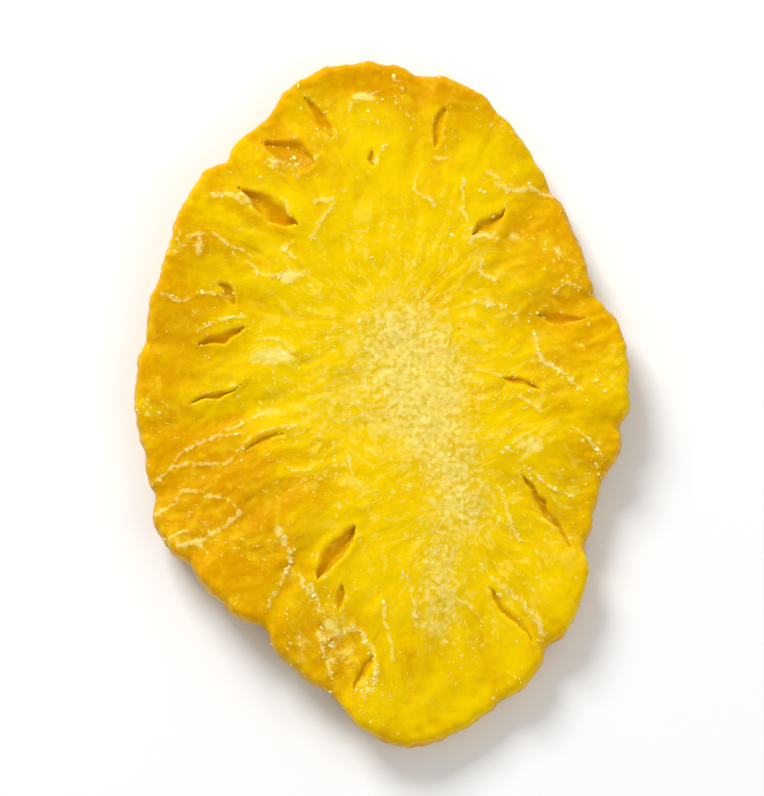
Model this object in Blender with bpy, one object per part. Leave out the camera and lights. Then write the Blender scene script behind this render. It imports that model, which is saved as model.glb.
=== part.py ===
"""A dried pineapple slice that lies face up: an oval disc with its core left in, a crinkled rim that
has curled up in waves, creases between its fruitlets and the open slits that their eyes leave."""

import math
import random

import bmesh
import bpy
from mathutils import Vector, noise

MM = 0.001

# Driving sizes of the slice. The heart is the middle of the core, where all fibres meet, and it
# lies a little off the middle of the oval. Angles run anticlockwise from +X as seen from above.
HEART = (2.12 * MM, 0.34 * MM)
RIM_RADII_MM = (  # from the heart to the rim, at even steps of angle
    30.3, 30.6, 29.8, 32.8, 37.0, 42.4, 45.3, 45.0, 40.8, 38.8, 36.0, 34.9,
    34.6, 34.5, 36.3, 35.7, 36.7, 39.9, 45.8, 43.2, 39.4, 34.8, 29.7, 29.8,
)
RIM_LIFTS_MM = (  # how far the rim has curled up off the table, at even steps of angle
    3.2, 1.4, 0.2, 1.0, 3.4, 2.6, 0.5, 1.5, 3.2, 1.0, 0.1, 1.6,
)
CURL_POWER = 2.6  # the middle stays flat and the curl grows towards the rim
CORE_THICKNESS = 7.2 * MM
RIM_THICKNESS = 5.2 * MM
RIM_UNEVENNESS = 0.4  # share by which the rim is thicker or thinner from place to place
RIM_UNEVENNESS_LENGTH = 15 * MM
EDGE_ROUND = 1.2 * MM  # how far the rounded side stands out past the two faces
EDGE_SQUARENESS = 2.5  # 2 is a half circle, and more is squarer
CORE_RADIUS = 8.5 * MM
CORE_DISH = 0.45 * MM

# The outline's notches between fruitlets, and the crinkles and buckles that drying has left.
NOTCHES = (  # angle, depth in mm, half-width in degrees
    (27, 0.5, 3), (54, 0.5, 4), (86, 1.3, 5), (114, 0.7, 4), (126, 0.9, 4), (168, 0.5, 5),
    (203, 0.9, 4), (219, 0.8, 4), (240, 1.2, 5), (258, 0.7, 4), (288, 0.5, 3), (300, 1.3, 3.5),
    (321, 1.4, 4.5), (338, 0.6, 4), (352, 0.5, 4),
)
CRINKLE = 0.42 * MM
CRINKLE_LENGTH = 3.0 * MM
BUCKLE = 0.8 * MM
BUCKLE_LENGTH = 19 * MM
BUMP = 0.3 * MM
BUMP_LENGTH = 4.2 * MM

# Creases between the fruitlets run out from the core to the notches of the rim.
CREASE_DEPTH = 0.75 * MM
CREASE_HALF_WIDTH = 1.5 * MM
CREASE_START = 0.42  # share of the way from the heart to the rim
CREASE_LEAST = 0.4  # share of the full depth where there is no notch, and more where there is one
CREASE_WANDER = 0.07  # radians to either side
CREASE_WANDER_LENGTH = 9 * MM

# Eyes: leaf-shaped slits left by the seed cells. Each runs from an inner to an outer end, given in
# mm from the heart. The steep wall is on the left of that run if the last number is 1.
EYES = (  # inner end, outer end, width, depth, steep wall
    ((-13.2, 22.4), (-21.8, 27.6), 3.1, 1.0, 1),
    ((-11.4, 30.8), (-17.2, 33.2), 5.2, 0.8, -1),
    ((-8.8, 34.0), (-12.8, 40.2), 1.4, 0.6, -1),
    ((-3.1, 29.8), (-3.4, 33.0), 1.3, 0.4, 1),
    ((4.4, 33.4), (7.0, 39.2), 1.7, 0.5, 1),
    ((9.6, 21.2), (13.8, 25.2), 2.4, 0.6, 1),
    ((-21.4, 12.0), (-24.0, 14.4), 1.6, 0.4, -1),
    ((-20.2, 8.8), (-26.8, 6.4), 1.2, 0.55, 1),
    ((-21.0, 1.8), (-28.4, -2.0), 0.9, 0.5, 1),
    ((-14.4, -5.0), (-20.6, -8.0), 1.0, 0.35, -1),
    ((-6.2, -17.4), (-10.6, -24.6), 3.0, 1.0, 1),
    ((-7.2, -25.4), (-8.6, -28.6), 1.5, 0.4, 1),
    ((-3.6, -34.4), (-5.4, -38.4), 1.8, 0.5, -1),
    ((13.4, 2.2), (19.0, 0.4), 1.6, 0.45, 1),
    ((18.2, 10.4), (24.8, 9.8), 1.9, 0.5, -1),
    ((15.8, -11.0), (22.8, -20.2), 1.5, 0.65, 1),
    ((11.4, -25.4), (17.8, -32.2), 1.5, 0.4, -1),
)
STEEP_SHIFT = 0.35  # how far a slit's deepest line lies towards its steep wall, in half-widths
LEAF_POWER = 1.7  # a lower power has a more pointed leaf
SKEW = 0.35  # share by which a leaf is wider towards its inner end
WANDERS = ((1.0 * MM, 5 * MM), (0.35 * MM, 1.7 * MM))  # how far its edges stray, and over what length

# The slits of the underside lie in a ring, each a little off its even place.
UNDER_EYES = 12
UNDER_EYE_SEED = 5
UNDER_EYE_REACH = (0.62, 0.76)  # least and most share of the way from the heart to the rim
UNDER_EYE_SHIFT = 0.3  # share of a step to either side
UNDER_EYE_LEAN = 0.35  # radians off the radius, to either side
UNDER_EYE_LENGTH = (4.5, 8.0)
UNDER_EYE_WIDTH = 2.2
UNDER_EYE_DEPTH = 0.8

# Broad hollows, and swellings where the depth is negative, in mm from the heart.
SWELLS = (  # inner end, outer end, half-width, depth
    ((-13.0, -1.2), (-31.0, -3.6), 2.2, 0.8),
    ((-14.0, -8.6), (-31.0, -13.6), 2.6, -0.5),
    ((-12.0, 14.0), (-27.0, 20.5), 3.2, -0.5),
    ((14.0, 15.5), (26.0, 16.5), 3.4, -0.5),
    ((12.0, -6.0), (26.0, -10.5), 2.6, -0.45),
    ((3.0, -24.0), (2.0, -40.0), 3.6, -0.4),
    ((-10.0, -11.5), (-21.0, -20.5), 3.4, -0.5),
)

# The mesh is laid out in rings of points, from the heart of the top face round the side and back.
SEGMENTS = 480
TOP_RINGS = 78
SIDE_RINGS = 12
UNDER_RINGS = 40
TRIANGLES = 11600  # kept where the form bends most
FLAT_SPOT = 0.55 * MM  # the low parts of the underside are pressed flat by this much

FLESH_COLOUR = (0.85, 0.55, 0.008, 1.0)
FLESH_ROUGHNESS = 0.42


def round_spline(values, angle):
    """A smooth closed curve through values at even steps of angle, in radians."""
    place = angle / math.tau * len(values)
    step = math.floor(place)
    t = place - step
    a, b, c, d = (values[(step + k) % len(values)] for k in (-1, 0, 1, 2))
    return b + 0.5 * t * (c - a + t * (2 * a - 5 * b + 4 * c - d + t * (3 * (b - c) + d - a)))


def angle_gap(a, b):
    """The signed gap between two angles in radians, from -pi to pi."""
    return (a - b + math.pi) % math.tau - math.pi


def rim_radius(angle):
    radius = round_spline(RIM_RADII_MM, angle) * MM
    for at, depth, half_width in NOTCHES:
        gap = angle_gap(angle, math.radians(at)) / math.radians(half_width)
        radius -= depth * MM * math.exp(-2 * gap * gap)
    rim = Vector((math.cos(angle), math.sin(angle), 0)) * radius
    return radius + CRINKLE * noise.noise(rim / CRINKLE_LENGTH)


def along_run(x, y, inner, outer):
    """Place of a point beside a run: -1 to 1 along it, and its distance to the left in mm."""
    start, end = Vector(inner), Vector(outer)
    run = end - start
    half = run.length / 2
    offset = Vector((x / MM, y / MM)) - (start + end) / 2
    return offset.dot(run) / (2 * half * half), run.cross(offset) / (2 * half)


def slit(x, y, inner, outer, width, steep):
    """From 0 at the lip of a leaf-shaped slit to 1 along its deepest line."""
    u, across = along_run(x, y, inner, outer)
    if abs(u) >= 1:
        return 0.0
    opening = width / 2 * (1 - abs(u) ** LEAF_POWER) * (1 - SKEW * u)
    w = steep * across / opening
    if abs(w) >= 1:
        return 0.0
    wall = 1 - STEEP_SHIFT if w > STEEP_SHIFT else 1 + STEEP_SHIFT
    fall = abs(w - STEEP_SHIFT) / wall
    return 0.5 + 0.5 * math.cos(math.pi * fall)


def swell(x, y):
    """Depth of the broad hollows and swellings at a point of the top face."""
    depth = 0.0
    for inner, outer, half_width, deep in SWELLS:
        u, across = along_run(x, y, inner, outer)
        w = across / half_width
        depth += deep * MM * math.exp(-w * w - u * u * u * u)
    return depth


def crease(angle, radius, share):
    """Depth of the shallow valleys that wander out to the notches."""
    depth = 0.0
    reach = max(0.0, (share - CREASE_START) / (1 - CREASE_START))
    for at, notch, _ in NOTCHES:
        wander = noise.noise(Vector((radius / CREASE_WANDER_LENGTH, at, 0)))
        course = math.radians(at) + CREASE_WANDER * wander * (1 - share)
        across = radius * angle_gap(angle, course) / CREASE_HALF_WIDTH
        share_of_depth = min(1.0, CREASE_LEAST + notch / 2)
        depth = max(depth, share_of_depth * math.exp(-across * across))
    return CREASE_DEPTH * reach * depth


def deepest_slit(x, y, eyes):
    """Depth of whichever slit a point lies in, and 0 outside them all."""
    ragged_x = x + sum(far * noise.noise(Vector((x, y, 0)) / length) for far, length in WANDERS)
    ragged_y = y + sum(far * noise.noise(Vector((y, x, 0)) / length) for far, length in WANDERS)
    return max(deep * MM * slit(ragged_x, ragged_y, inner, outer, width, steep)
               for inner, outer, width, deep, steep in eyes)


def under_eyes():
    """The slits of the underside, as EYES lists those of the top face."""
    draw = random.Random(UNDER_EYE_SEED)
    for k in range(UNDER_EYES):
        at = math.tau * (k + draw.uniform(-UNDER_EYE_SHIFT, UNDER_EYE_SHIFT)) / UNDER_EYES
        lean = at + draw.uniform(-UNDER_EYE_LEAN, UNDER_EYE_LEAN)
        reach = draw.uniform(*UNDER_EYE_REACH) * rim_radius(at) / MM
        half_length = draw.uniform(*UNDER_EYE_LENGTH) / 2
        middle = reach * Vector((math.cos(at), math.sin(at)))
        half = half_length * Vector((math.cos(lean), math.sin(lean)))
        yield middle - half, middle + half, UNDER_EYE_WIDTH, UNDER_EYE_DEPTH, draw.choice((-1, 1))


def slice_point(angle, share, side, eyes_below):
    """The place of a mesh point. Share is 0 at the heart and 1 where a face turns into the side;
    side is 1 on the top face, -1 on the underside and in between round the side."""
    reach = (1 - abs(side) ** EDGE_SQUARENESS) ** (1 / EDGE_SQUARENESS)
    rim = rim_radius(angle)
    radius = (rim - EDGE_ROUND) * share + EDGE_ROUND * reach
    x, y = radius * math.cos(angle), radius * math.sin(angle)
    to_rim = radius / rim

    curl = round_spline(RIM_LIFTS_MM, angle) * MM * to_rim**CURL_POWER
    buckle = BUCKLE * noise.noise(Vector((x, y, 0)) / BUCKLE_LENGTH)
    uneven = noise.noise(Vector((x, y, 0)) / RIM_UNEVENNESS_LENGTH + Vector((0, 0, 5)))
    rim_thickness = RIM_THICKNESS * (1 + RIM_UNEVENNESS * uneven)
    half = (CORE_THICKNESS + (rim_thickness - CORE_THICKNESS) * to_rim**2) / 2
    middle = curl + buckle + half

    dents = BUMP * noise.noise(Vector((x, y, side * MM)) / BUMP_LENGTH)
    dents += crease(angle, radius, to_rim)
    dents += CORE_DISH * math.exp(-(radius / CORE_RADIUS) ** 4)
    if side > 0:
        dents += deepest_slit(x, y, EYES) + swell(x, y)
    else:
        dents += deepest_slit(x, y, eyes_below)
    return Vector((x, y, middle + side * (half - dents)))


def stations():
    """(share, side) of each ring of points, from the top pole to the bottom one."""
    top = [(k / TOP_RINGS, 1.0) for k in range(TOP_RINGS + 1)]
    turns = [math.pi * (k + 1) / (SIDE_RINGS + 1) for k in range(SIDE_RINGS)]
    side = [(1.0, math.cos(turn)) for turn in turns]
    under = [(1 - k / UNDER_RINGS, -1.0) for k in range(UNDER_RINGS + 1)]
    return top + side + under


def fine_slice():
    """A sphere's points, moved ring by ring to the faces and the side of the slice."""
    rings = stations()
    bands = len(rings) - 1
    eyes_below = list(under_eyes())
    bm = bmesh.new()
    bmesh.ops.create_uvsphere(bm, u_segments=SEGMENTS, v_segments=bands, radius=1)
    for vert in bm.verts:
        ring = round(math.acos(max(-1.0, min(1.0, vert.co.z))) / math.pi * bands)
        share, side = rings[ring]
        angle = math.atan2(vert.co.y, vert.co.x) % math.tau
        vert.co = slice_point(angle, share, side, eyes_below) + Vector((*HEART, 0))
    bmesh.ops.triangulate(bm, faces=bm.faces)
    mesh = bpy.data.meshes.new("fine_slice")
    bm.to_mesh(mesh)
    bm.free()
    return mesh


def thinned(ring):
    """The object's mesh with only as many triangles as the form needs."""
    thin = ring.modifiers.new("thin_out", "DECIMATE")
    thin.ratio = TRIANGLES / len(ring.data.polygons)
    graph = bpy.context.evaluated_depsgraph_get()
    mesh = bpy.data.meshes.new_from_object(ring.evaluated_get(graph))
    ring.modifiers.remove(thin)
    return mesh


def press_flat(mesh):
    """Sets the slice down on the floor, with its lowest parts pressed flat."""
    floor = min(vert.co.z for vert in mesh.vertices) + FLAT_SPOT
    for vert in mesh.vertices:
        vert.co.z = max(0.0, vert.co.z - floor)


def make_slice(collection):
    ring = bpy.data.objects.new("pineapple_ring", fine_slice())
    collection.objects.link(ring)
    ring.data = thinned(ring)
    press_flat(ring.data)
    ring.data.shade_smooth()
    return ring


def flesh_material():
    material = bpy.data.materials.new("dried_pineapple_flesh")
    material.use_nodes = True
    shader = material.node_tree.nodes["Principled BSDF"]
    shader.inputs["Base Color"].default_value = FLESH_COLOUR
    shader.inputs["Roughness"].default_value = FLESH_ROUGHNESS
    return material


def main():
    for obj in list(bpy.data.objects):
        bpy.data.objects.remove(obj)
    collection = bpy.data.collections.new("pineapple_ring")
    bpy.context.scene.collection.children.link(collection)
    ring = make_slice(collection)
    ring.data.materials.append(flesh_material())


main()
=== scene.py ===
import math
import random

import bpy
import numpy as np
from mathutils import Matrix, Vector, noise


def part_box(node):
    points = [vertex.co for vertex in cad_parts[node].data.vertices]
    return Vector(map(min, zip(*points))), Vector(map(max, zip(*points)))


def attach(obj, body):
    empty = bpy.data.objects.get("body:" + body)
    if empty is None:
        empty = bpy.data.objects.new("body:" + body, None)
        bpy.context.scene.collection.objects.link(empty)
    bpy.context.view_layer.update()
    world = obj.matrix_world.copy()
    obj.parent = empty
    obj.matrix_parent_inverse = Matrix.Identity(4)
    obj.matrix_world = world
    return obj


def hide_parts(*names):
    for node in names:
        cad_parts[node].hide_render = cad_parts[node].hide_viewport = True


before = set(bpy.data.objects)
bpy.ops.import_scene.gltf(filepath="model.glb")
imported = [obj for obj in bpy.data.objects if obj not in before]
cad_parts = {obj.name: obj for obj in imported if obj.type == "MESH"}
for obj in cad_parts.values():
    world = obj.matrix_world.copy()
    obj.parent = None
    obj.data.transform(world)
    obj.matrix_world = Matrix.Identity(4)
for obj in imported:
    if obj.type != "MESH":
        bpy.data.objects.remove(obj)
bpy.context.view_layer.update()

# The camera looks down on the slice, because the slice faces it squarely, and the end that is
# uppermost in the photograph points away from it. Lens and sensor are in mm.
CAMERA_ELEVATION = math.radians(80)
CAMERA_LENS = 135.0
CAMERA_SENSOR = 36.0
CAMERA_NEAREST = 0.01
SLICE_SHARE_OF_HEIGHT = 0.86


def add_object(name, data):
    made = bpy.data.objects.new(name, data)
    bpy.context.scene.collection.objects.link(made)
    return made


low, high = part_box("pineapple_ring")
middle = (low + high) / 2
seen_height = (high.y - low.y) * math.sin(CAMERA_ELEVATION) / SLICE_SHARE_OF_HEIGHT
camera_distance = seen_height / CAMERA_SENSOR * CAMERA_LENS
camera_data = bpy.data.cameras.new("camera")
camera_data.lens = CAMERA_LENS
camera_data.sensor_width = CAMERA_SENSOR
camera_data.clip_start = CAMERA_NEAREST
camera = add_object("camera", camera_data)
line_of_sight = Vector((0, -math.cos(CAMERA_ELEVATION), math.sin(CAMERA_ELEVATION)))
camera.location = middle + camera_distance * line_of_sight
camera.rotation_euler = (math.pi / 2 - CAMERA_ELEVATION, 0, 0)
bpy.context.scene.camera = camera


# The slice's form: one cut of peeled pineapple with its core left in. Drying has shrunk it, pulled
# notches into its rim between the fruitlets and curled it up in waves. Angles run anticlockwise
# from +X as seen from above, and places on the face are in mm from the heart of the core.
MM = 0.001
HEART = (2.12 * MM, 0.34 * MM)
RIM_RADII_MM = (
    30.3, 30.6, 29.8, 32.8, 37.0, 42.4, 45.3, 45.0, 40.8, 38.8, 36.0, 34.9,
    34.6, 34.5, 36.3, 35.7, 36.7, 39.9, 45.8, 43.2, 39.4, 34.8, 29.7, 29.8,
)
RIM_LIFTS_MM = (3.2, 1.4, 0.2, 1.0, 3.4, 2.6, 0.5, 1.5, 3.2, 1.0, 0.1, 1.6)
CURL_POWER = 2.6
CORE_THICKNESS = 7.2 * MM
RIM_THICKNESS = 5.2 * MM
RIM_UNEVENNESS = 0.4
RIM_UNEVENNESS_LENGTH = 15 * MM
EDGE_ROUND = 1.2 * MM
EDGE_SQUARENESS = 2.5
CORE_RADIUS = 8.5 * MM
CORE_DISH = 0.45 * MM
NOTCHES = (  # angle, depth in mm, half-width in degrees
    (27, 0.5, 3), (54, 0.5, 4), (86, 1.3, 5), (114, 0.7, 4), (126, 0.9, 4), (168, 0.5, 5),
    (203, 0.9, 4), (219, 0.8, 4), (240, 1.2, 5), (258, 0.7, 4), (288, 0.5, 3), (300, 1.3, 3.5),
    (321, 1.4, 4.5), (338, 0.6, 4), (352, 0.5, 4),
)
CRINKLE = 0.42 * MM
CRINKLE_LENGTH = 3.0 * MM
BUCKLE = 0.8 * MM
BUCKLE_LENGTH = 19 * MM
BUMP = 0.3 * MM
BUMP_LENGTH = 4.2 * MM
CREASE_DEPTH = 0.75 * MM
CREASE_HALF_WIDTH = 1.5 * MM
CREASE_START = 0.42
CREASE_LEAST = 0.4
CREASE_WANDER = 0.07
CREASE_WANDER_LENGTH = 9 * MM
FLAT_SPOT = 0.55 * MM


def lumps(x, y, z, length):
    """Smooth noise of that grain at each point."""
    return np.array([noise.noise(Vector(p)) for p in zip(x / length, y / length, z / length)])


def round_spline(values, angle):
    """A smooth closed curve through values at even steps of angle."""
    values = np.array(values)
    place = angle / math.tau * len(values)
    step = np.floor(place).astype(int)
    t = place - step
    a, b, c, d = (values[(step + k) % len(values)] for k in (-1, 0, 1, 2))
    return b + 0.5 * t * (c - a + t * (2 * a - 5 * b + 4 * c - d + t * (3 * (b - c) + d - a)))


def angle_gap(a, b):
    return (a - b + math.pi) % math.tau - math.pi


def rim_radius(angle):
    radius = round_spline(RIM_RADII_MM, angle) * MM
    for at, depth, half_width in NOTCHES:
        gap = angle_gap(angle, math.radians(at)) / math.radians(half_width)
        radius = radius - depth * MM * np.exp(-2 * gap * gap)
    x, y = radius * np.cos(angle), radius * np.sin(angle)
    return radius + CRINKLE * lumps(x, y, 0 * x, CRINKLE_LENGTH)


def crease(angle, radius, share):
    """Depth of the shallow valleys that wander out to the notches."""
    depth = np.zeros(len(angle))
    reach = np.clip((share - CREASE_START) / (1 - CREASE_START), 0, 1)
    for at, notch, _ in NOTCHES:
        row = np.full(len(angle), at * CREASE_WANDER_LENGTH)
        wander = lumps(radius, row, 0 * radius, CREASE_WANDER_LENGTH)
        course = math.radians(at) + CREASE_WANDER * wander * (1 - share)
        across = radius * angle_gap(angle, course) / CREASE_HALF_WIDTH
        share_of_depth = min(1.0, CREASE_LEAST + notch / 2)
        depth = np.maximum(depth, share_of_depth * np.exp(-across * across))
    return CREASE_DEPTH * reach * depth


# Eyes: leaf-shaped slits that the seed cells leave where the knife opens them. Each runs from an
# inner to an outer end, and one wall is steeper. Broad hollows and swellings lie between them.
EYES = (  # inner end, outer end, width, depth, steep wall
    ((-13.2, 22.4), (-21.8, 27.6), 3.1, 1.0, 1),
    ((-11.4, 30.8), (-17.2, 33.2), 5.2, 0.8, -1),
    ((-8.8, 34.0), (-12.8, 40.2), 1.4, 0.6, -1),
    ((-3.1, 29.8), (-3.4, 33.0), 1.3, 0.4, 1),
    ((4.4, 33.4), (7.0, 39.2), 1.7, 0.5, 1),
    ((9.6, 21.2), (13.8, 25.2), 2.4, 0.6, 1),
    ((-21.4, 12.0), (-24.0, 14.4), 1.6, 0.4, -1),
    ((-20.2, 8.8), (-26.8, 6.4), 1.2, 0.55, 1),
    ((-21.0, 1.8), (-28.4, -2.0), 0.9, 0.5, 1),
    ((-14.4, -5.0), (-20.6, -8.0), 1.0, 0.35, -1),
    ((-6.2, -17.4), (-10.6, -24.6), 3.0, 1.0, 1),
    ((-7.2, -25.4), (-8.6, -28.6), 1.5, 0.4, 1),
    ((-3.6, -34.4), (-5.4, -38.4), 1.8, 0.5, -1),
    ((13.4, 2.2), (19.0, 0.4), 1.6, 0.45, 1),
    ((18.2, 10.4), (24.8, 9.8), 1.9, 0.5, -1),
    ((15.8, -11.0), (22.8, -20.2), 1.5, 0.65, 1),
    ((11.4, -25.4), (17.8, -32.2), 1.5, 0.4, -1),
)
STEEP_SHIFT = 0.35
LEAF_POWER = 1.7
LIP_WIDTH = 1.0
LIP_HEIGHT = 0.16 * MM
LIP_OVERHANG = 0.3
SKEW = 0.35
WANDERS = ((1.0 * MM, 5 * MM), (0.35 * MM, 1.7 * MM))
SWELLS = (  # inner end, outer end, half-width, depth
    ((-13.0, -1.2), (-31.0, -3.6), 2.2, 0.8),
    ((-14.0, -8.6), (-31.0, -13.6), 2.6, -0.5),
    ((-12.0, 14.0), (-27.0, 20.5), 3.2, -0.5),
    ((14.0, 15.5), (26.0, 16.5), 3.4, -0.5),
    ((12.0, -6.0), (26.0, -10.5), 2.6, -0.45),
    ((3.0, -24.0), (2.0, -40.0), 3.6, -0.4),
    ((-10.0, -11.5), (-21.0, -20.5), 3.4, -0.5),
)
UNDER_EYES = 12
UNDER_EYE_SEED = 5
UNDER_EYE_REACH = (0.62, 0.76)
UNDER_EYE_SHIFT = 0.3
UNDER_EYE_LEAN = 0.35
UNDER_EYE_LENGTH = (4.5, 8.0)
UNDER_EYE_WIDTH = 2.2
UNDER_EYE_DEPTH = 0.8


def along_run(x, y, inner, outer):
    """Place of each point beside a run: -1 to 1 along it, and its distance to the left in mm."""
    run = np.subtract(outer, inner)
    half = np.hypot(*run) / 2
    dx = x / MM - (inner[0] + outer[0]) / 2
    dy = y / MM - (inner[1] + outer[1]) / 2
    return (dx * run[0] + dy * run[1]) / (2 * half * half), (run[0] * dy - run[1] * dx) / (2 * half)


def slit(x, y, inner, outer, width, steep):
    """From 0 at the lip of a leaf-shaped slit to 1 along its deepest line."""
    u, across = along_run(x, y, inner, outer)
    inside = np.abs(u) < 1
    at = np.where(inside, u, 0)
    opening = width / 2 * (1 - np.abs(at) ** LEAF_POWER) * (1 - SKEW * at)
    w = np.where(inside, steep * across / opening, 1)
    wall = np.where(w > STEEP_SHIFT, 1 - STEEP_SHIFT, 1 + STEEP_SHIFT)
    fall = np.minimum(1, np.abs(w - STEEP_SHIFT) / wall)
    return np.where(np.abs(w) < 1, 0.5 + 0.5 * np.cos(math.pi * fall), 0)


def deepest_slit(x, y, eyes):
    depths = [deep * MM * slit(x, y, inner, outer, width, steep)
              for inner, outer, width, deep, steep in eyes]
    return np.max(depths, axis=0)


def lip(x, y, eyes):
    """From 0 away from the slits to 1 on the lips just outside them."""
    found = np.zeros(len(x))
    for inner, outer, width, _, _ in eyes:
        u, across = along_run(x, y, inner, outer)
        at = np.clip(u, -1, 1)
        beside = np.abs(across) - width / 2 * (1 - np.abs(at) ** LEAF_POWER) * (1 - SKEW * at)
        past = np.maximum(0, np.abs(u) - 1) * np.hypot(*np.subtract(outer, inner)) / 2
        gap = np.hypot(np.maximum(0, beside), past)
        over = np.clip(1 + beside / LIP_OVERHANG, 0, 1)
        found = np.maximum(found, over * np.exp(-(gap / LIP_WIDTH) ** 2))
    return found


def swell(x, y):
    """Depth of the broad hollows and swellings."""
    depth = np.zeros(len(x))
    for inner, outer, half_width, deep in SWELLS:
        u, across = along_run(x, y, inner, outer)
        depth += deep * MM * np.exp(-(across / half_width) ** 2 - u**4)
    return depth


def under_eyes():
    draw = random.Random(UNDER_EYE_SEED)
    for k in range(UNDER_EYES):
        at = math.tau * (k + draw.uniform(-UNDER_EYE_SHIFT, UNDER_EYE_SHIFT)) / UNDER_EYES
        lean = at + draw.uniform(-UNDER_EYE_LEAN, UNDER_EYE_LEAN)
        reach = draw.uniform(*UNDER_EYE_REACH) * rim_radius(np.array([at]))[0] / MM
        half_length = draw.uniform(*UNDER_EYE_LENGTH) / 2
        mid = reach * np.array((math.cos(at), math.sin(at)))
        half = half_length * np.array((math.cos(lean), math.sin(lean)))
        yield mid - half, mid + half, UNDER_EYE_WIDTH, UNDER_EYE_DEPTH, draw.choice((-1, 1))


# Membranes: the thin walls between fruitlets stand up a little and dry pale. Each is a bent line on
# the top face, in mm from the heart, with its half-width.
MEMBRANES = (
    (0.26, ((-6.3, 39.2), (-4.2, 40.3), (-2.3, 41.0))),
    (0.2, ((-3.6, 30.9), (-2.9, 30.2), (-2.1, 33.5))),
    (0.29, ((12.2, 30.2), (14.2, 27.6), (16.2, 27.2), (17.5, 28.2), (20.8, 27.6))),
    (0.3, ((9.6, 20.8), (10.9, 21.8), (12.9, 20.8))),
    (0.18, ((8.9, 11.4), (11.0, 12.0), (14.2, 11.8), (15.5, 10.2))),
    (0.2, ((17.5, 8.1), (18.2, 6.2), (18.8, 4.8), (21.5, 2.1), (24.1, 0.1))),
    (0.22, ((13.6, -0.6), (16.4, -0.6), (19.4, -2.2))),
    (0.18, ((16.8, -9.8), (19.4, -12.4), (22.4, -13.4))),
    (0.28, ((12.2, -24.6), (15.2, -26.2), (18.2, -29.8), (18.8, -31.6))),
    (0.18, ((-31.3, 13.5), (-28.7, 12.8), (-26.0, 13.5), (-22.1, 12.8))),
    (0.2, ((-27.7, 20.2), (-26.0, 20.8), (-26.4, 18.1))),
    (0.3, ((-25.4, 26.2), (-23.6, 26.6), (-21.4, 26.2), (-20.1, 25.6))),
    (0.2, ((-15.5, 26.2), (-14.1, 23.6))),
    (0.26, ((-11.5, 20.8), (-9.6, 23.6), (-8.2, 25.8), (-9.8, 26.0), (-11.4, 25.4))),
    (0.17, ((-32.0, -11.3), (-30.0, -10.0), (-27.3, -7.3), (-22.1, -4.0), (-16.8, -2.6))),
    (0.17, ((-28.7, -10.0), (-22.3, -8.9), (-19.2, -5.9), (-16.6, -4.7), (-13.7, -4.0))),
    (0.22, ((-31.3, -16.0), (-29.4, -14.4), (-28.0, -13.3), (-25.4, -12.6))),
    (0.18, ((-24.8, -13.2), (-22.6, -14.4), (-20.8, -15.9), (-22.8, -17.8), (-25.6, -19.8),
            (-28.6, -20.4))),
    (0.16, ((-27.8, -18.6), (-30.6, -19.2))),
    (0.26, ((-12.6, -23.8), (-11.4, -25.8), (-10.8, -28.4))),
    (0.26, ((-9.2, -32.4), (-7.4, -30.8), (-5.2, -31.0), (-3.6, -33.6), (-2.8, -38.0), (-4.6, -39.8))),
    (0.24, ((-10.0, -31.4), (-9.4, -34.4), (-8.4, -37.4))),
    (0.28, ((-15.5, -17.4), (-14.1, -21.4), (-15.5, -25.4), (-17.4, -28.7))),
    (0.16, ((-26.4, 8.8), (-23.6, 9.8), (-20.2, 10.2))),
    (0.14, ((-18.4, 7.0), (-17.2, 7.5), (-15.4, 6.9), (-13.4, 5.4))),
    (0.16, ((5.6, -24.6), (7.4, -26.4), (10.6, -29.2))),
    (0.16, ((1.2, -23.6), (1.6, -27.0), (2.6, -30.6))),
    (0.18, ((-24.0, 21.6), (-21.0, 19.4), (-19.6, 18.2))),
    (0.18, ((20.4, 13.4), (22.6, 14.0), (25.8, 13.2))),
    (0.1, ((-17.6, -9.2), (-13.8, -9.8), (-10.4, -9.0))),
    (0.24, ((-17.3, 31.1), (-14.1, 30.5), (-11.0, 31.4))),
    (0.16, ((8.8, 28.6), (8.6, 24.0), (9.5, 22.1))),
    (0.18, ((10.7, 17.9), (10.9, 16.1), (12.7, 15.6))),
    (0.16, ((-14.2, 20.2), (-15.1, 19.1), (-13.7, 17.9))),
    (0.13, ((2.7, 31.3), (2.7, 28.1), (5.0, 24.9))),
    (0.18, ((-1.4, 43.4), (-0.4, 42.6), (0.4, 41.5))),
    (0.16, ((4.1, 31.8), (5.4, 31.6), (6.8, 31.8))),
    (0.1, ((-6.9, -7.6), (-6.6, -10.4), (-5.0, -12.7))),
    (0.16, ((12.7, -12.7), (14.2, -15.8), (15.9, -19.2))),
    (0.14, ((13.6, -36.8), (14.8, -37.2), (15.9, -38.2))),
    (0.15, ((-2.3, -27.5), (-1.4, -31.2), (-1.0, -34.9))),
    (0.15, ((-20.2, 17.4), (-17.4, 15.8), (-13.2, 15.4))),
    (0.13, ((22.0, -4.8), (24.6, -5.8), (26.8, -8.0))),
    (0.13, ((20.6, 19.6), (22.0, 17.8), (24.8, 17.2))),
    (0.13, ((-26.8, -6.8), (-24.0, -5.2), (-20.0, -5.0))),
)

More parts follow.
